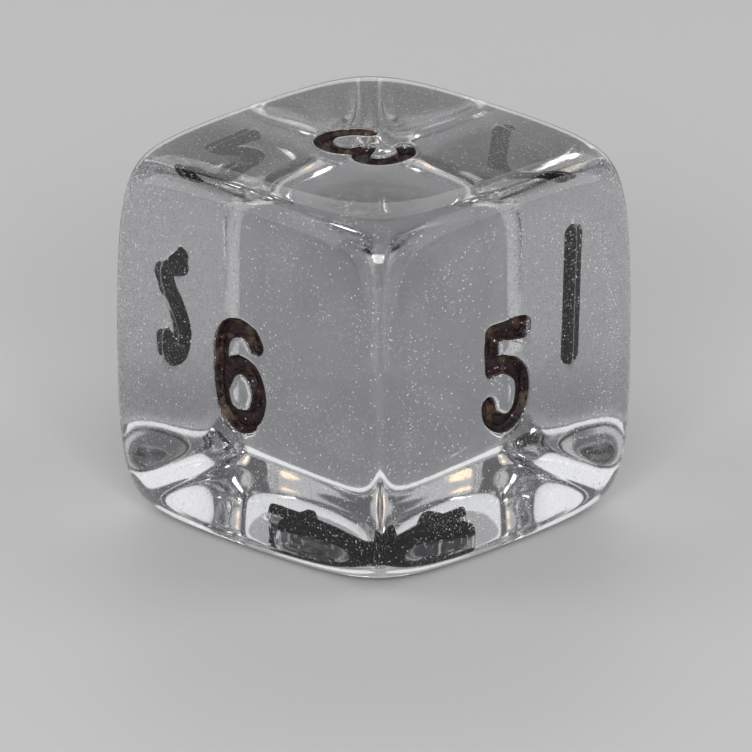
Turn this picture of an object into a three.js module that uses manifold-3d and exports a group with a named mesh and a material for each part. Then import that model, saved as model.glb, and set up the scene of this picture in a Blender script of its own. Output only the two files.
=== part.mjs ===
// A clear six-sided die: a tumbled block of transparent acrylic with rounded edges and cut corners,
// a numeral engraved in each face, and a paint fill lying in each engraving.
// Millimetres, +Z up. The origin is the centre of the face that the die stands on.
import * as THREE from 'three';
import { mergeVertices } from 'three/addons/utils/BufferGeometryUtils.js';
import Module from 'manifold-3d';

const wasm = await Module();
wasm.setup();

// Driving dimensions.
const WIDTH = 16.0; // across each pair of side faces
const HEIGHT = 16.3; // tumbling leaves the block a little taller than it is wide
const EDGE_POWER = 15.2; // a higher power gives tighter edges: this one rounds them to about 1.2 mm
const CORNER_CUT = 12.62; // radius of the sphere that takes the corners off
const FACE_FLAT = 0.002; // share by which the rounded form is oversize before the faces are cut flat
const STROKE_WIDTH = 0.84; // engraved line at the face
const FLOOR_WIDTH = 0.42; // engraved line at its floor
const GROOVE_DEPTH = 0.4; // every numeral but the 4, which is cut deeper
const DEEP_GROOVE_DEPTH = 0.56;
const PAINT_RECESS = 0.12; // paint lies this far under the face
const PAINT_GAP = 0.025; // clearance between the paint solid and the groove
const STROKE_STEP = 0.42; // spacing of the samples along a stroke
const CAP_STEPS = 5; // segments round each half-round stroke end
const OVERCUT = 0.3; // the cutter stands this far out of the face

const HALF = WIDTH / 2;
const HALF_SIZE = new THREE.Vector3(HALF, HALF, HEIGHT / 2);

// Grid lines of one face on the unit cube: one flat square in the middle, then closer towards the edge.
const GRID_HALF = [0.5, 0.62, 0.72, 0.8, 0.86, 0.91, 0.955, 1];
const GRID = [...GRID_HALF.map((t) => -t).reverse(), ...GRID_HALF];

// Numerals as strokes: each is a smooth curve through a few points, in millimetres from the face centre,
// x to the numeral's right and y to its top. Strokes of one numeral overlap where they join.
const STROKES = {
  1: [
    [[0.2, 2.82], [0.28, 1.2], [0.43, -0.9], [0.58, -2.46]],
  ],
  2: [
    [[-0.8, 1.42], [-0.68, 1.98], [-0.06, 2.34], [0.76, 2.2], [1.14, 1.6], [0.96, 1.0],
      [0.26, 0.1], [-0.5, -0.7], [-0.98, -1.46]],
    [[-0.9, -1.5], [-0.06, -1.68], [0.84, -1.88]],
    [[-0.06, -1.58], [0.86, -1.46]],
  ],
  3: [
    [[-0.5, 1.34], [-0.1, 1.78], [0.72, 1.98], [1.4, 1.75], [1.7, 1.2], [1.45, 0.66], [0.66, 0.2]],
    [[0.76, 0.16], [1.3, 0.0], [1.64, -0.55], [1.62, -1.1], [1.3, -1.68], [0.7, -2.0],
      [0.0, -1.86], [-0.5, -1.5], [-0.76, -1.08]],
  ],
  4: [
    [[0.4, 2.3], [0.42, 0.0], [0.45, -2.3]],
    [[0.34, 2.18], [-0.6, 0.9], [-1.6, -0.75]],
    [[-1.48, -0.78], [0.0, -0.8], [1.5, -0.8]],
  ],
  5: [
    [[0.68, 1.92], [-0.3, 1.93], [-1.2, 1.96]],
    [[0.66, 1.72], [-0.2, 1.86]],
    [[-1.21, 1.86], [-1.24, 1.2], [-1.2, 0.45]],
    [[-1.12, 0.5], [-0.6, 0.48], [0.05, 0.24], [0.54, -0.3], [0.6, -1.1], [0.32, -1.75],
      [-0.25, -2.1], [-0.85, -1.98], [-1.3, -1.6], [-1.42, -1.14]],
  ],
  6: [
    [[0.86, 1.4], [0.56, 1.8], [-0.06, 1.97], [-0.72, 1.78], [-1.07, 1.2], [-1.12, 0.3],
      [-1.12, -0.8], [-0.84, -1.7], [-0.08, -2.16], [0.5, -2.0]],
    [[-0.6, -1.85], [-0.08, -2.0], [0.7, -1.72], [1.01, -0.85], [0.72, 0.06], [0.0, 0.38],
      [-0.64, 0.1], [-0.98, -0.5]],
  ],
};

// Where each numeral is: how deep it is cut, the face's outward direction and the way its top points.
// Opposite faces add up to seven.
const FACES = [
  { value: 1, depth: GROOVE_DEPTH, out: [0, 1, 0], top: [0, 0, 1] },
  { value: 2, depth: GROOVE_DEPTH, out: [-1, 0, 0], top: [0, 0, -1] },
  { value: 3, depth: GROOVE_DEPTH, out: [0, 0, 1], top: [1, 0, 0] },
  { value: 4, depth: DEEP_GROOVE_DEPTH, out: [0, 0, -1], top: [1, 0, 0] },
  { value: 5, depth: GROOVE_DEPTH, out: [1, 0, 0], top: [0, 0, 1] },
  { value: 6, depth: GROOVE_DEPTH, out: [0, -1, 0], top: [0, 0, 1] },
];

const clearAcrylic = new THREE.MeshStandardMaterial({
  name: 'clear_acrylic',
  color: 0xc9cdd0,
  roughness: 0.06,
  metalness: 0,
});
const numeralPaint = new THREE.MeshStandardMaterial({
  name: 'numeral_paint',
  color: 0x21140f,
  roughness: 0.35,
  metalness: 0,
});

function toSolid(geometry) {
  const bare = new THREE.BufferGeometry();
  bare.setAttribute('position', geometry.getAttribute('position'));
  bare.setIndex(geometry.getIndex());
  const merged = mergeVertices(bare, 1e-4);
  return new wasm.Manifold(
    new wasm.Mesh({
      numProp: 3,
      vertProperties: merged.attributes.position.array,
      triVerts: new Uint32Array(merged.index.array),
    }),
  );
}

function toGeometry(solid) {
  const mesh = solid.getMesh();
  const geometry = new THREE.BufferGeometry();
  geometry.setAttribute('position', new THREE.BufferAttribute(mesh.vertProperties, 3));
  geometry.setIndex(new THREE.BufferAttribute(mesh.triVerts, 1));
  geometry.computeVertexNormals();
  return geometry;
}

// The tumbled form: along each direction, the distance at which a rounded cube and
// the corner-cutting sphere meet, both blended by the same power.
function tumbledPoint(x, y, z) {
  const corner = Math.hypot(x, y, z) / (CORNER_CUT / HALF);
  const reach = [x, y, z, corner].reduce((sum, v) => sum + Math.abs(v) ** EDGE_POWER, 0);
  const size = (1 + FACE_FLAT) / reach ** (1 / EDGE_POWER);
  const cut = (v) => Math.max(-1, Math.min(1, v * size));
  return [cut(x) * HALF_SIZE.x, cut(y) * HALF_SIZE.y, cut(z) * HALF_SIZE.z];
}

// The whole block, as six grids that share their edge points.
function blockGeometry() {
  const positions = [];
  const index = [];
  for (const { out, top } of FACES) {
    const n = new THREE.Vector3(...out);
    const v = new THREE.Vector3(...top);
    const u = v.clone().cross(n);
    const first = positions.length / 3;
    for (const b of GRID) {
      for (const a of GRID) {
        const p = n.clone().addScaledVector(u, a).addScaledVector(v, b);
        positions.push(...tumbledPoint(p.x, p.y, p.z));
      }
    }
    const cells = GRID.length - 1;
    for (let row = 0; row < cells; row += 1) {
      for (let column = 0; column < cells; column += 1) {
        const corner = first + row * GRID.length + column;
        const above = corner + GRID.length;
        index.push(corner, corner + 1, above + 1, corner, above + 1, above);
      }
    }
  }
  const geometry = new THREE.BufferGeometry();
  geometry.setAttribute('position', new THREE.Float32BufferAttribute(positions, 3));
  geometry.setIndex(index);
  return geometry;
}

// Closed outline of a stroke of the given half width, counter-clockwise, with half-round ends.
function strokeOutline(points, tangents, halfWidth) {
  const last = points.length - 1;
  const side = (i, angle) => {
    const t = tangents[i];
    const c = Math.cos(angle) * halfWidth;
    const s = Math.sin(angle) * halfWidth;
    return new THREE.Vector2(points[i].x + t.x * c - t.y * s, points[i].y + t.y * c + t.x * s);
  };
  const outline = [];
  for (let i = 0; i < last; i += 1) outline.push(side(i, -Math.PI / 2));
  for (let k = 0; k <= CAP_STEPS; k += 1) outline.push(side(last, Math.PI * (k / CAP_STEPS - 0.5)));
  for (let i = last - 1; i > 0; i -= 1) outline.push(side(i, Math.PI / 2));
  for (let k = 0; k < CAP_STEPS; k += 1) outline.push(side(0, Math.PI * (k / CAP_STEPS + 0.5)));
  return outline;
}

// A stroke as a closed solid: its outline at each level, walls between them, and a lid at each end.
// Levels run outward; each has its height over the face and its half width.
function strokeGeometry(strokePoints, levels) {
  const curve = new THREE.SplineCurve(strokePoints.map(([x, y]) => new THREE.Vector2(x, y)));
  const samples = Math.max(3, Math.round(curve.getLength() / STROKE_STEP));
  const points = curve.getSpacedPoints(samples);
  const tangents = points.map((_, i) => curve.getTangentAt(i / samples));
  const outlines = levels.map(({ halfWidth }) => strokeOutline(points, tangents, halfWidth));
  const count = outlines[0].length;
  const positions = outlines.flatMap((outline, level) =>
    outline.flatMap((p) => [p.x, p.y, levels[level].height]));
  const index = [];
  for (let level = 0; level < levels.length - 1; level += 1) {
    for (let i = 0; i < count; i += 1) {
      const a = level * count + i;
      const b = level * count + ((i + 1) % count);
      index.push(a, b, b + count, a, b + count, a + count);
    }
  }
  const lid = (outline) => THREE.ShapeUtils.triangulateShape(outline, []);
  const topStart = (levels.length - 1) * count;
  for (const [a, b, c] of lid(outlines[0])) index.push(a, c, b);
  for (const [a, b, c] of lid(outlines.at(-1))) index.push(topStart + a, topStart + b, topStart + c);
  const geometry = new THREE.BufferGeometry();
  geometry.setAttribute('position', new THREE.Float32BufferAttribute(positions, 3));
  geometry.setIndex(index);
  return geometry;
}

// All strokes of a numeral joined, in the numeral's own frame or moved into the block's.
function numeralSolid(value, levels, matrix = new THREE.Matrix4()) {
  return STROKES[value]
    .map((stroke) => toSolid(strokeGeometry(stroke, levels).applyMatrix4(matrix)))
    .reduce((joined, next) => joined.add(next));
}

// Numeral frame on its face: x right, y to the numeral's top, z outward, origin at the face centre.
function faceMatrix({ out, top }) {
  const n = new THREE.Vector3(...out);
  const v = new THREE.Vector3(...top);
  const centre = n.clone().multiply(HALF_SIZE);
  return new THREE.Matrix4().makeBasis(v.clone().cross(n), v, n).setPosition(centre);
}

// Levels of the cutter that presses a groove of the given depth into a face.
function cutterLevels(depth) {
  return [
    { height: -depth, halfWidth: FLOOR_WIDTH / 2 },
    { height: 0, halfWidth: STROKE_WIDTH / 2 },
    { height: OVERCUT, halfWidth: STROKE_WIDTH / 2 },
  ];
}

// Levels of the paint in that groove, clear of its floor and walls.
function paintLevels(depth) {
  const floor = depth - PAINT_GAP;
  return [floor, PAINT_RECESS].map((below) => ({
    height: -below,
    halfWidth: THREE.MathUtils.lerp(STROKE_WIDTH, FLOOR_WIDTH, below / depth) / 2 - PAINT_GAP,
  }));
}

const die = new THREE.Group();
die.position.z = HEIGHT / 2;

let block = toSolid(blockGeometry());
for (const face of FACES) {
  const matrix = faceMatrix(face);
  block = block.subtract(numeralSolid(face.value, cutterLevels(face.depth), matrix));

  const facet = new THREE.Group();
  facet.applyMatrix4(matrix);
  const fill = numeralSolid(face.value, paintLevels(face.depth));
  const paint = new THREE.Mesh(toGeometry(fill), numeralPaint);
  paint.name = `numeral_${face.value}_paint`;
  facet.add(paint);
  die.add(facet);
}

const body = new THREE.Mesh(toGeometry(block), clearAcrylic);
body.name = 'clear_body';
die.add(body);

export default die;
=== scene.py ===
"""A clear, tumbled six-sided die with engraved and painted numerals, standing on a pale floor."""
import math

import bmesh
import bpy
import numpy as np
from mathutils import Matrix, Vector, noise
from mathutils.geometry import delaunay_2d_cdt


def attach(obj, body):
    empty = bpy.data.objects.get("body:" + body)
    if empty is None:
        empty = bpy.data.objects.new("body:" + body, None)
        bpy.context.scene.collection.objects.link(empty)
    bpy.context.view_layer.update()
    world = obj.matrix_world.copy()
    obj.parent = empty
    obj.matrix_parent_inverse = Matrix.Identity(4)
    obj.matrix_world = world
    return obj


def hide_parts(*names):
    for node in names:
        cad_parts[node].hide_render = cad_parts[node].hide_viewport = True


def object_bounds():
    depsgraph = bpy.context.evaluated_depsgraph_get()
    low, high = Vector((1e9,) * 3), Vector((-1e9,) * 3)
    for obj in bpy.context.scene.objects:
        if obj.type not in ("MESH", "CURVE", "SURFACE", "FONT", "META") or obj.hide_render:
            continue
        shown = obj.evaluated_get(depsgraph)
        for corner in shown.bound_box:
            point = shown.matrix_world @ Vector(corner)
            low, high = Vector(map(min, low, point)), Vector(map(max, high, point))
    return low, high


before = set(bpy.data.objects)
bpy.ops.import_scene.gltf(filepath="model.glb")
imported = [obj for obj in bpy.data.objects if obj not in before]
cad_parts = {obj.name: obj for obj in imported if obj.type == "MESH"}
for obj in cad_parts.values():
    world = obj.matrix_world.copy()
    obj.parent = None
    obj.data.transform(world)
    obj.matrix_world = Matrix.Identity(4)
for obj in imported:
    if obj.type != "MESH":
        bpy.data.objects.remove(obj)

cad_low, cad_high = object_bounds()

MM = 0.001
CENTRE = np.array((cad_low + cad_high) / 2)
HALF = np.array((cad_high - cad_low) / 2)  # half the block's width, depth and height
HALF_WIDTH_MM = HALF[0] / MM

# The tumbled form: edges rounded by a high power, corners taken off by a sphere of this radius.
EDGE_POWER = 15.2
CORNER_CUT_MM = 12.62

# The engraved line and the paint in it, in millimetres.
STROKE_WIDTH = 0.84
FLOOR_WIDTH = 0.42
GROOVE_DEPTH = {1: 0.4, 2: 0.4, 3: 0.4, 4: 0.56, 5: 0.4, 6: 0.4}
RIM_WEAR = 0.03  # tumbling wears the rim down by this much, over this width round the groove
WEAR_WIDTH = 0.35
PAINT_EDGE = {1: 0.0, 2: 0.0, 3: 0.01, 4: 0.06, 5: 0.01, 6: 0.01}  # how far inside the rim paint starts
PAINT_FILM = 0.02
PAINT_LIFT = 0.004  # the film's thickness at its very edge
PAINT_POOL = 0.09  # extra thickness of the paint along the groove's floor
PAINT_GRIP = 0.008  # the paint reaches this far into the acrylic, so no air lies between them
LUMPS_PER_METRE = (1600, 4200)  # coarse and fine lumps in the pooled paint
LUMP_SHARE = 0.45  # how much of the pool's thickness the lumps change
WOBBLE = 0.03  # the outline strays by about this much, as a hand-finished engraving does
WOBBLE_PER_MM = 1.7  # how quickly the straying changes direction
WOBBLE_SEED = 7  # without a seed the straying would differ from run to run

MERGE_DISTANCE = 2e-6  # metres

# Numerals as strokes: each is a smooth curve through a few points, in millimetres from the face
# centre, x to the numeral's right and y to its top.
STROKES = {
    1: [
        [(0.2, 2.82), (0.28, 1.2), (0.43, -0.9), (0.58, -2.46)],
    ],
    2: [
        [(-0.8, 1.42), (-0.68, 1.98), (-0.06, 2.34), (0.76, 2.2), (1.14, 1.6), (0.96, 1.0),
         (0.26, 0.1), (-0.5, -0.7), (-0.98, -1.46)],
        [(-0.9, -1.5), (-0.06, -1.68), (0.84, -1.88)],
        [(-0.06, -1.58), (0.86, -1.46)],
    ],
    3: [
        [(-0.5, 1.34), (-0.1, 1.78), (0.72, 1.98), (1.4, 1.75), (1.7, 1.2), (1.45, 0.66), (0.66, 0.2)],
        [(0.76, 0.16), (1.3, 0.0), (1.64, -0.55), (1.62, -1.1), (1.3, -1.68), (0.7, -2.0),
         (0.0, -1.86), (-0.5, -1.5), (-0.76, -1.08)],
    ],
    4: [
        [(0.4, 2.3), (0.42, 0.0), (0.45, -2.3)],
        [(0.34, 2.18), (-0.6, 0.9), (-1.6, -0.75)],
        [(-1.48, -0.78), (0.0, -0.8), (1.5, -0.8)],
    ],
    5: [
        [(0.68, 1.92), (-0.3, 1.93), (-1.2, 1.96)],
        [(0.66, 1.72), (-0.2, 1.86)],
        [(-1.21, 1.86), (-1.24, 1.2), (-1.2, 0.45)],
        [(-1.12, 0.5), (-0.6, 0.48), (0.05, 0.24), (0.54, -0.3), (0.6, -1.1), (0.32, -1.75),
         (-0.25, -2.1), (-0.85, -1.98), (-1.3, -1.6), (-1.42, -1.14)],
    ],
    6: [
        [(0.86, 1.4), (0.56, 1.8), (-0.06, 1.97), (-0.72, 1.78), (-1.07, 1.2), (-1.12, 0.3),
         (-1.12, -0.8), (-0.84, -1.7), (-0.08, -2.16), (0.5, -2.0)],
        [(-0.6, -1.85), (-0.08, -2.0), (0.7, -1.72), (1.01, -0.85), (0.72, 0.06), (0.0, 0.38),
         (-0.64, 0.1), (-0.98, -0.5)],
    ],
}

# Outward direction of each numeral's face, and the way the numeral's top points.
FACES = {
    1: ((0, 1, 0), (0, 0, 1)),
    2: ((-1, 0, 0), (0, 0, -1)),
    3: ((0, 0, 1), (1, 0, 0)),
    4: ((0, 0, -1), (1, 0, 0)),
    5: ((1, 0, 0), (0, 0, 1)),
    6: ((0, -1, 0), (0, 0, 1)),
}

# One face is a plain grid with a square patch in the middle. The patch is triangulated round the
# numeral, through points that follow its outline at these distances inside the rim, in millimetres.
PATCH_HALF = 4.2
PATCH_CELLS = 28
EDGE_CELLS = 22
OUTLINE_LEVELS = (-0.34, -0.24, -0.14, -0.06, 0.0, 0.01, 0.06, 0.1, 0.15, 0.2, 0.25, 0.3)
OUTLINE_STEP = 0.06
OUTLINE_SLACK = 0.004  # a point this near to an outline counts as on it
GRID_GAP = 0.12  # the patch's own grid keeps this far from the outermost outline
THINNING = 0.4  # points nearer to each other than this share of a step become one
TRIANGLE_TOLERANCE = 1e-5
EDGE_CROWDING = 1.4  # how strongly the grid lines gather towards the face's edge

# Camera: a long lens, turned from the 6 towards the 5.
VIEW_AZIMUTH, VIEW_ELEVATION = 43.82, 20.48
LENS_MM, SENSOR_MM = 1200, 36
FRAME_WIDTH = 0.03145  # what the frame's width spans at the die
FRAME_SHIFT = (0.0028, -0.067)
CLIP_RANGE = (0.01, 10)

FLOOR_SIZE = 6.0
WORLD_GREY = (0.18, 0.18, 0.185, 1)
DAYLIGHT = (1, 0.99, 0.97)
WARMER_DAYLIGHT = (1, 0.98, 0.96)
LAMPLIGHT = (1, 0.66, 0.32)

# Surfaces. The haze is the share of light that the acrylic scatters instead of letting it through.
ACRYLIC_IOR = 1.49
EVEN_HAZE, DUST_HAZE = 0.003, 0.65
WORN_EDGE_REACH = (11, 14.5)  # where the frost at the two worn upright edges starts and is full, in mm
ROUNDED_NORMAL = (0.998, 0.9)  # the normal's largest part on the flat of a face, and on its rounding
# Painted shade: the acrylic itself is colourless, and this grey tint darkens the whole body in place of
# shade.
PAINTED_SHADE_TINT = (0.53, 0.54, 0.56, 1)
DUST_WHITE = (1, 1, 1, 1)
PAINT_BLACK = (0.003, 0.001, 0.002, 1)
PAINT_BROWN = (0.024, 0.009, 0.011, 1)
PAINT_FLAKE = (0.09, 0.055, 0.032, 1)
# Pale pink specks in the paint: partly metallic flakes, partly painted glints.
PAINT_GLITTER_AND_GLINT = (0.6, 0.42, 0.48, 1)
UNDERSIDE_BLACK = (0.002, 0.002, 0.004, 1)
UNDERSIDE_SPECK = (0.7, 0.7, 0.75, 1)
FLOOR_DARK, FLOOR_PALE = (0.6, 0.6, 0.61, 1), (0.64, 0.64, 0.65, 1)


def spline(points, step):
    """Samples about a step apart along the smooth curve through the points."""
    p = np.array(points, float)
    p = np.vstack([p[:1], p, p[-1:]])
    found = [p[1]]
    for a, b, c, d in zip(p, p[1:], p[2:], p[3:]):
        count = max(2, round(np.linalg.norm(c - b) / step))
        for t in np.arange(1, count + 1) / count:
            v0, v1 = (c - a) / 2, (d - b) / 2
            found.append(
                (2 * b - 2 * c + v0 + v1) * t**3 + (3 * c - 3 * b - 2 * v0 - v1) * t**2 + v0 * t + b
            )
    return np.array(found)


def inside_rim(points, value):
    """How far each point is inside the numeral's rim; negative outside it."""
    nearest = np.full(len(points), 1e9)
    for stroke in STROKES[value]:
        line = spline(stroke, OUTLINE_STEP)
        for a, b in zip(line, line[1:]):
            along = b - a
            t = np.clip((points - a) @ along / (along @ along), 0, 1)
            nearest = np.minimum(nearest, np.linalg.norm(points - a - t[:, None] * along, axis=1))
    return STROKE_WIDTH / 2 - nearest


def groove_depth(inside, value):
    """Depth of the groove: a worn rim, steep walls, and a floor that they round into."""
    worn = RIM_WEAR * (1 - np.clip(-inside / WEAR_WIDTH, 0, 1)) ** 3
    wall = (STROKE_WIDTH - FLOOR_WIDTH) / 2
    cut = (GROOVE_DEPTH[value] - RIM_WEAR) * np.sin(np.clip(inside / wall, 0, 1) * math.pi / 2)
    return worn + cut


def basis(value):
    """Right, top and outward unit vectors of a numeral on its face."""
    out, top = (np.array(v, float) for v in FACES[value])
    return np.cross(top, out), top, out


def tumbled(directions):
    """Points of the tumbled form along each direction, in shares of the half sizes."""
    corner = np.linalg.norm(directions, axis=1) / (CORNER_CUT_MM / HALF_WIDTH_MM)
    terms = np.abs(np.column_stack([directions, corner])) ** EDGE_POWER
    return directions / (terms.sum(axis=1) ** (1 / EDGE_POWER))[:, None]


def on_face(value, points, depth):
    """Points across a face, in millimetres, as places on the block, sunk by a depth."""
    right, top, out = basis(value)
    share = points / HALF_WIDTH_MM
    surface = tumbled(out + share[:, :1] * right + share[:, 1:] * top)
    return surface * HALF - out * (depth * MM)[:, None] + CENTRE


def outline(stroke, radius, step):
    """Points round a stroke at a distance from its centreline, with half-round ends."""
    line = spline(stroke, step)
    if radius <= 0:
        return line
    along = np.gradient(line, axis=0)
    along /= np.linalg.norm(along, axis=1)[:, None]
    side = np.column_stack([-along[:, 1], along[:, 0]])
    turns = np.linspace(0, math.pi, max(4, round(math.pi * radius / step)) + 1)[1:-1]

    def end(i, sign):
        return [line[i] + radius * (math.cos(t) * side[i] + sign * math.sin(t) * along[i]) for t in turns]

    return np.vstack([line + radius * side, end(-1, 1), line - radius * side, end(0, -1)])


def patch_points(value):
    """The patch's points: its grid away from the numeral, and the numeral's outlines within it."""
    lines = np.linspace(-PATCH_HALF, PATCH_HALF, PATCH_CELLS + 1)
    v, u = np.meshgrid(lines, lines, indexing="ij")
    grid = np.column_stack([u.ravel(), v.ravel()])
    grid = grid[inside_rim(grid, value) < OUTLINE_LEVELS[0] - GRID_GAP]
    kept = [grid]
    for level in (*OUTLINE_LEVELS, STROKE_WIDTH / 2):
        step = OUTLINE_STEP * (1 if level >= -0.1 else 2)
        found = np.vstack([outline(s, STROKE_WIDTH / 2 - level, step) for s in STROKES[value]])
        found = found[inside_rim(found, value) < level + OUTLINE_SLACK]
        _, first = np.unique(np.round(found / (step * THINNING)), axis=0, return_index=True)
        kept.append(found[np.sort(first)])
    return np.vstack(kept)


def make_patch(value):
    """Triangulates the patch. Returns its points, triangles and how far each point is inside the rim."""
    points = patch_points(value)
    flat = [Vector(p) for p in points]
    made, _, triangles, _, _, _ = delaunay_2d_cdt(flat, [], [], 0, TRIANGLE_TOLERANCE)
    points = np.array([tuple(p) for p in made])
    inside = inside_rim(points, value)
    stray = np.array([noise.noise_vector(Vector((*p, value)) * WOBBLE_PER_MM)[:2] for p in points])
    stray *= WOBBLE * np.clip(1 + inside / WEAR_WIDTH, 0, 1)[:, None]
    return points + stray, np.array(triangles), inside


def grid_lines():
    """Grid lines across a face: evenly across the patch, then closer towards the edge."""
    patch = np.linspace(-PATCH_HALF, PATCH_HALF, PATCH_CELLS + 1)
    span = HALF_WIDTH_MM - PATCH_HALF
    outer = PATCH_HALF + span * (1 - (1 - np.linspace(0, 1, EDGE_CELLS + 1)[1:]) ** EDGE_CROWDING)
    return np.concatenate([-outer[::-1], patch, outer])


def make_border():
    """The plain grid of a face outside its patch: points and triangles."""
    lines = grid_lines()
    n = len(lines)
    v, u = np.meshgrid(lines, lines, indexing="ij")
    points = np.column_stack([u.ravel(), v.ravel()])
    i, j = np.meshgrid(np.arange(n - 1), np.arange(n - 1), indexing="ij")
    a = (i * n + j).ravel()
    middle = (points[a] + points[a + n + 1]) / 2
    a = a[np.abs(middle).max(axis=1) > PATCH_HALF]
    b, c, d = a + 1, a + n + 1, a + n
    return points, np.vstack([np.column_stack([a, b, c]), np.column_stack([a, c, d])])


def make_mesh(name, points, triangles):
    """A smooth-shaded closed mesh, with doubled points merged and faces turned outward."""
    mesh = bpy.data.meshes.new(name)
    mesh.from_pydata(points.tolist(), [], triangles.tolist())
    bm = bmesh.new()
    bm.from_mesh(mesh)
    bmesh.ops.remove_doubles(bm, verts=bm.verts, dist=MERGE_DISTANCE)
    loose = [v for v in bm.verts if not v.link_faces]
    bmesh.ops.delete(bm, geom=loose, context="VERTS")
    bmesh.ops.recalc_face_normals(bm, faces=bm.faces)
    bm.to_mesh(mesh)
    bm.free()
    mesh.polygons.foreach_set("use_smooth", [True] * len(mesh.polygons))
    obj = bpy.data.objects.new(name, mesh)
    bpy.context.scene.collection.objects.link(obj)
    return obj


def build_body(patches):
    """The clear block: six faces on the tumbled form, with the grooves pressed in."""
    border_points, border_triangles = make_border()
    points, triangles, first = [], [], 0
    for value, (patch, patch_triangles, inside) in patches.items():
        for flat, faces, depth in (
            (border_points, border_triangles, np.zeros(len(border_points))),
            (patch, patch_triangles, groove_depth(inside, value)),
        ):
            points.append(on_face(value, flat, depth))
            triangles.append(faces + first)
            first += len(flat)
    return make_mesh("die_body", np.vstack(points), np.vstack(triangles))


def vertex_normals(points, triangles):
    """The average direction of the triangles round each point."""
    a, b, c = (points[triangles[:, k]] for k in range(3))
    face = np.cross(b - a, c - a)
    total = np.zeros_like(points)
    for k in range(3):
        np.add.at(total, triangles[:, k], face)
    return total / np.maximum(np.linalg.norm(total, axis=1), 1e-20)[:, None]


def build_paint(value, patch, materials):
    """The paint of one numeral: a film that grips the groove and pools along its floor."""
    points, triangles, inside = patch
    edge = PAINT_EDGE[value]
    groove = on_face(value, points, groove_depth(inside, value))
    normals = vertex_normals(groove, triangles)
    normals *= np.sign(normals @ basis(value)[2])[:, None]
    covered = (inside[triangles] > edge - OUTLINE_SLACK).all(axis=1)
    triangles = triangles[covered]
    used = np.unique(triangles)
    place = np.full(len(points), -1)
    place[used] = np.arange(len(used))
    triangles = place[triangles]
    groove, normals, inside = groove[used], normals[used], inside[used]

    pooled = np.clip((inside - edge) / (STROKE_WIDTH / 2 - edge), 0, 1)
    coarse, fine = ([noise.noise(Vector(p) * scale) for p in groove] for scale in LUMPS_PER_METRE)
    lumps = np.array(coarse) + 0.5 * np.array(fine)
    film = PAINT_FILM * np.minimum(1, pooled * 6) + PAINT_POOL * pooled**1.4 * (1 + LUMP_SHARE * lumps)
    upper = groove + normals * ((film + PAINT_LIFT) * MM)[:, None]
    lower = groove - normals * (PAINT_GRIP * MM)

    edges = np.vstack([triangles[:, [0, 1]], triangles[:, [1, 2]], triangles[:, [2, 0]]])
    _, where, times = np.unique(np.sort(edges, axis=1), axis=0, return_index=True, return_counts=True)
    rim = edges[where[times == 1]]
    count = len(used)
    sides = np.vstack([
        np.column_stack([rim[:, 1], rim[:, 0], rim[:, 0] + count]),
        np.column_stack([rim[:, 1], rim[:, 0] + count, rim[:, 1] + count]),
    ])
    faces = np.vstack([triangles, triangles[:, ::-1] + count, sides])
    numeral = make_mesh(f"numeral_{value}", np.vstack([upper, lower]), faces)
    for material in materials:
        numeral.data.materials.append(material)
    outward = Vector(basis(value)[2])
    for polygon in numeral.data.polygons:
        polygon.material_index = int(polygon.normal.dot(outward) < 0)
    return numeral


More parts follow.
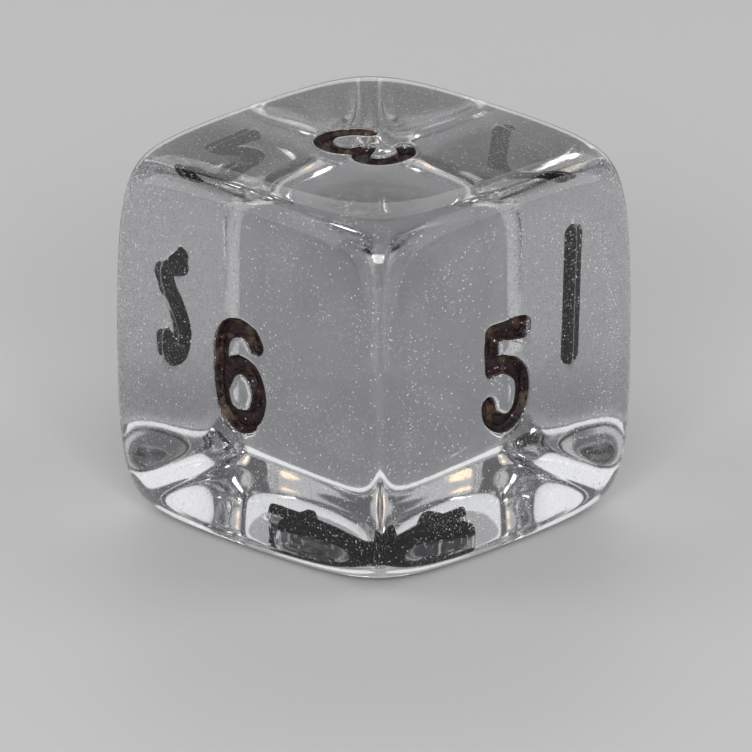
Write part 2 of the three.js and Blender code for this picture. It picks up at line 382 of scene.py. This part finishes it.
class Surface:
    """A material and its node tree, with a short call for each kind of node used here."""

    def __init__(self, name):
        self.material = bpy.data.materials.new(name)
        self.material.use_nodes = True
        self.tree = self.material.node_tree
        self.shader = self.tree.nodes["Principled BSDF"]
        self.place = self.tree.nodes.new("ShaderNodeTexCoord")

    def feed(self, socket, value):
        """Links another node's output to the socket, or sets the socket to a plain value."""
        if isinstance(value, bpy.types.NodeSocket):
            self.tree.links.new(value, socket)
        else:
            socket.default_value = value

    def set(self, name, value):
        self.feed(self.shader.inputs[name], value)

    def math(self, operation, *values, clamp=False):
        node = self.tree.nodes.new("ShaderNodeMath")
        node.operation = operation
        node.use_clamp = clamp
        for socket, value in zip(node.inputs, values):
            self.feed(socket, value)
        return node.outputs[0]

    def ramp(self, value, start, end, low=0.0, high=1.0):
        """The value taken from start..end to low..high, and held at both ends."""
        node = self.tree.nodes.new("ShaderNodeMapRange")
        for socket, item in zip(node.inputs, (value, start, end, low, high)):
            self.feed(socket, item)
        return node.outputs["Result"]

    def noise(self, size_mm, detail, scale=(1, 1, 1)):
        """Soft clouds about size_mm across; a scale below 1 draws them out along that axis."""
        mapping = self.tree.nodes.new("ShaderNodeMapping")
        mapping.inputs["Scale"].default_value = scale
        self.feed(mapping.inputs["Vector"], self.place.outputs["Object"])
        node = self.tree.nodes.new("ShaderNodeTexNoise")
        self.feed(node.inputs["Vector"], mapping.outputs["Vector"])
        node.inputs["Scale"].default_value = 1 / (size_mm * MM)
        node.inputs["Detail"].default_value = detail
        return node.outputs["Fac"]

    def specks(self, cell_mm, share, radius):
        """Round specks of different sizes: one in a share of the cells, radius as a share of a cell."""
        node = self.tree.nodes.new("ShaderNodeTexVoronoi")
        self.feed(node.inputs["Vector"], self.place.outputs["Object"])
        node.inputs["Scale"].default_value = 1 / (cell_mm * MM)
        split = self.tree.nodes.new("ShaderNodeSeparateColor")
        self.feed(split.inputs["Color"], node.outputs["Color"])
        size = self.ramp(split.outputs["Red"], 1 - share, 1, 0, radius)
        depth = self.math("SUBTRACT", size, node.outputs["Distance"])
        return self.math("MULTIPLY", depth, 8 / radius, clamp=True)

    def mix(self, share, low, high):
        """A colour between two others."""
        node = self.tree.nodes.new("ShaderNodeMix")
        node.data_type = "RGBA"
        for socket, value in zip((node.inputs[0], node.inputs[6], node.inputs[7]), (share, low, high)):
            self.feed(socket, value)
        return node.outputs[2]

    def bump(self, height, distance_mm):
        node = self.tree.nodes.new("ShaderNodeBump")
        node.inputs["Distance"].default_value = distance_mm * MM
        self.feed(node.inputs["Height"], height)
        self.set("Normal", node.outputs["Normal"])

    def edge_share(self):
        """0 on the flat of a face, 1 where the block is rounded."""
        split = self.tree.nodes.new("ShaderNodeSeparateXYZ")
        self.feed(split.inputs[0], self.place.outputs["Normal"])
        x, y, z = (self.math("ABSOLUTE", split.outputs[k]) for k in range(3))
        steepest = self.math("MAXIMUM", self.math("MAXIMUM", x, y), z)
        return self.ramp(steepest, *ROUNDED_NORMAL)

    def side_share(self):
        """1 at the two upright edges that are worn the most, 0 a few millimetres away from them."""
        split = self.tree.nodes.new("ShaderNodeSeparateXYZ")
        self.feed(split.inputs[0], self.place.outputs["Object"])
        reach = self.math("ABSOLUTE", self.math("ADD", split.outputs[0], split.outputs[1]))
        start, full = WORN_EDGE_REACH
        return self.ramp(reach, start * MM, full * MM)


def clear_acrylic():
    """Colourless acrylic darkened by a grey tint of painted shade, with dust specks, a thin haze, and
    frosted scuffs at two edges.
    """
    s = Surface("clear_acrylic")
    edge, side = s.edge_share(), s.side_share()
    dust = s.specks(cell_mm=0.17, share=0.9, radius=0.23)
    fine_dust = s.specks(cell_mm=0.095, share=0.8, radius=0.32)
    cloud = s.ramp(s.noise(size_mm=2.6, detail=4), 0.35, 0.7, 0.15, 0.6)
    scuffs = s.ramp(s.noise(size_mm=0.08, detail=2, scale=(0.5, 0.5, 1)), 0.46, 0.64, 0.05, 0.5)
    frost = s.math("MULTIPLY", side, s.math("MULTIPLY", s.ramp(edge, 0, 1, 0.3, 1), scuffs))
    haze = s.math("ADD", s.math("ADD", frost, EVEN_HAZE), s.math("MULTIPLY", fine_dust, cloud))
    haze = s.math("ADD", haze, s.math("MULTIPLY", dust, DUST_HAZE))
    s.set("Transmission Weight", s.math("SUBTRACT", 1.0, haze, clamp=True))
    # The grey tint in the base colour is painted shade; the haze mixes it towards white.
    s.set("Base Color", s.mix(haze, PAINTED_SHADE_TINT, DUST_WHITE))
    s.set("Roughness", s.ramp(edge, 0, 1, 0.045, 0.07))
    s.set("IOR", ACRYLIC_IOR)
    s.bump(s.noise(size_mm=1.9, detail=2), distance_mm=0.004)
    return s.material


def numeral_paint():
    """Brown-black paint, patchy and glossy, as it looks from outside, with pale pink specks that are
    partly metallic flakes and partly painted glints.
    """
    s = Surface("numeral_paint")
    patches = s.ramp(s.noise(size_mm=0.3, detail=5), 0.35, 0.65)
    flakes = s.ramp(s.noise(size_mm=0.7, detail=6), 0.54, 0.7)
    # Specks of painted glint, also made partly metallic so that they reflect the lamps.
    glitter_and_glint = s.specks(cell_mm=0.17, share=0.14, radius=0.3)
    colour = s.mix(flakes, s.mix(patches, PAINT_BLACK, PAINT_BROWN), PAINT_FLAKE)
    s.set("Base Color", s.mix(glitter_and_glint, colour, PAINT_GLITTER_AND_GLINT))
    s.set("Metallic", s.math("MULTIPLY", glitter_and_glint, 0.7))
    s.set("Roughness", s.ramp(s.noise(size_mm=0.2, detail=3), 0.35, 0.65, 0.1, 0.32))
    s.set("Specular IOR Level", 0.25)
    s.bump(s.noise(size_mm=0.2, detail=6), distance_mm=0.12)
    return s.material


def paint_underside():
    """The same paint against the acrylic: black, with pale specks where it has let go."""
    s = Surface("paint_underside")
    large = s.specks(cell_mm=0.13, share=0.5, radius=0.36)
    small = s.specks(cell_mm=0.08, share=0.3, radius=0.4)
    specks = s.math("MAXIMUM", large, small)
    s.set("Base Color", s.mix(specks, UNDERSIDE_BLACK, UNDERSIDE_SPECK))
    s.set("Roughness", s.ramp(specks, 0, 1, 0.8, 0.4))
    s.set("Specular IOR Level", 0.0)
    return s.material


def add_floor(size):
    """A plain pale sheet under the die."""
    mesh = bpy.data.meshes.new("floor")
    half = size / 2
    corners = [(-half, -half, 0), (half, -half, 0), (half, half, 0), (-half, half, 0)]
    mesh.from_pydata(corners, [], [(0, 1, 2, 3)])
    obj = bpy.data.objects.new("floor", mesh)
    bpy.context.scene.collection.objects.link(obj)
    s = Surface("floor")
    s.set("Base Color", s.mix(s.noise(size_mm=40, detail=3), FLOOR_DARK, FLOOR_PALE))
    s.set("Roughness", 0.55)
    mesh.materials.append(s.material)


def place_round_die(name, data, azimuth, elevation, distance):
    """A camera or light that looks at the die's centre. Azimuth 0 is in front of the 6, 90 of the 5."""
    a, e = math.radians(azimuth), math.radians(elevation)
    outward = Vector((math.sin(a) * math.cos(e), -math.cos(a) * math.cos(e), math.sin(e)))
    obj = bpy.data.objects.new(name, data)
    obj.location = Vector(CENTRE) + outward * distance
    obj.rotation_mode = "QUATERNION"
    obj.rotation_quaternion = (-outward).to_track_quat("-Z", "Y")
    bpy.context.scene.collection.objects.link(obj)
    return obj


def add_softbox(name, turn, elevation, distance, size, power, colour=DAYLIGHT):
    """A rectangular area light, turned from the camera by an angle round the die."""
    light = bpy.data.lights.new(name, "AREA")
    light.shape = "RECTANGLE"
    light.size, light.size_y = size
    light.energy = power
    light.color = colour
    return place_round_die(name, light, VIEW_AZIMUTH + turn, elevation, distance)


def add_camera():
    """The long lens, at the distance where its frame spans FRAME_WIDTH."""
    data = bpy.data.cameras.new("camera")
    data.lens = LENS_MM
    data.sensor_width = SENSOR_MM
    data.shift_x, data.shift_y = FRAME_SHIFT
    data.clip_start, data.clip_end = CLIP_RANGE
    distance = FRAME_WIDTH / SENSOR_MM * LENS_MM
    bpy.context.scene.camera = place_round_die("camera", data, VIEW_AZIMUTH, VIEW_ELEVATION, distance)


def add_world():
    """A dim, even grey all round."""
    world = bpy.data.worlds.new("world")
    bpy.context.scene.world = world
    world.use_nodes = True
    world.node_tree.nodes["Background"].inputs["Color"].default_value = WORLD_GREY


def add_lights():
    """Soft cards round the die: at both sides, behind it, and weaker ones in front."""
    add_softbox("left_side", -88, 28, 0.5, (0.34, 0.5), 0.74)
    add_softbox("right_side", 88, 28, 0.5, (0.34, 0.5), 0.74, WARMER_DAYLIGHT)
    add_softbox("back", 180, 13, 0.6, (0.7, 0.3), 0.32)
    add_softbox("back_high", 180, 37, 0.5, (0.55, 0.18), 0.36)
    add_softbox("back_low", 180, 5.5, 0.6, (0.8, 0.11), 0.25)
    add_softbox("front", 0, 50, 0.5, (0.24, 0.17), 0.09)
    add_softbox("lamp", 0, 53, 0.6, (0.08, 0.07), 0.03, LAMPLIGHT)
    add_softbox("left_glint", -18, 27, 0.5, (0.06, 0.06), 0.12)
    add_softbox("right_glint", 18, 27, 0.5, (0.06, 0.06), 0.12)
    key = add_softbox("key", 0, 26, 0.5, (0.3, 0.12), 1.5)
    key.visible_transmission = False  # the key isn't seen through the acrylic, only reflected off it


noise.seed_set(WOBBLE_SEED)
patches = {value: make_patch(value) for value in FACES}
body = build_body(patches)
body.data.materials.append(clear_acrylic())
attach(body, "root")
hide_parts("clear_body")

paint, underside = numeral_paint(), paint_underside()
for value in FACES:
    numeral = build_paint(value, patches[value], (paint, underside))
    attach(numeral, "root")
    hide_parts(f"numeral_{value}_paint")

add_floor(FLOOR_SIZE)
add_camera()
add_lights()
add_world()

scene = bpy.context.scene
scene.cycles.max_bounces = 24
scene.cycles.transmission_bounces = 24
scene.cycles.glossy_bounces = 16
scene.view_settings.view_transform = "Standard"
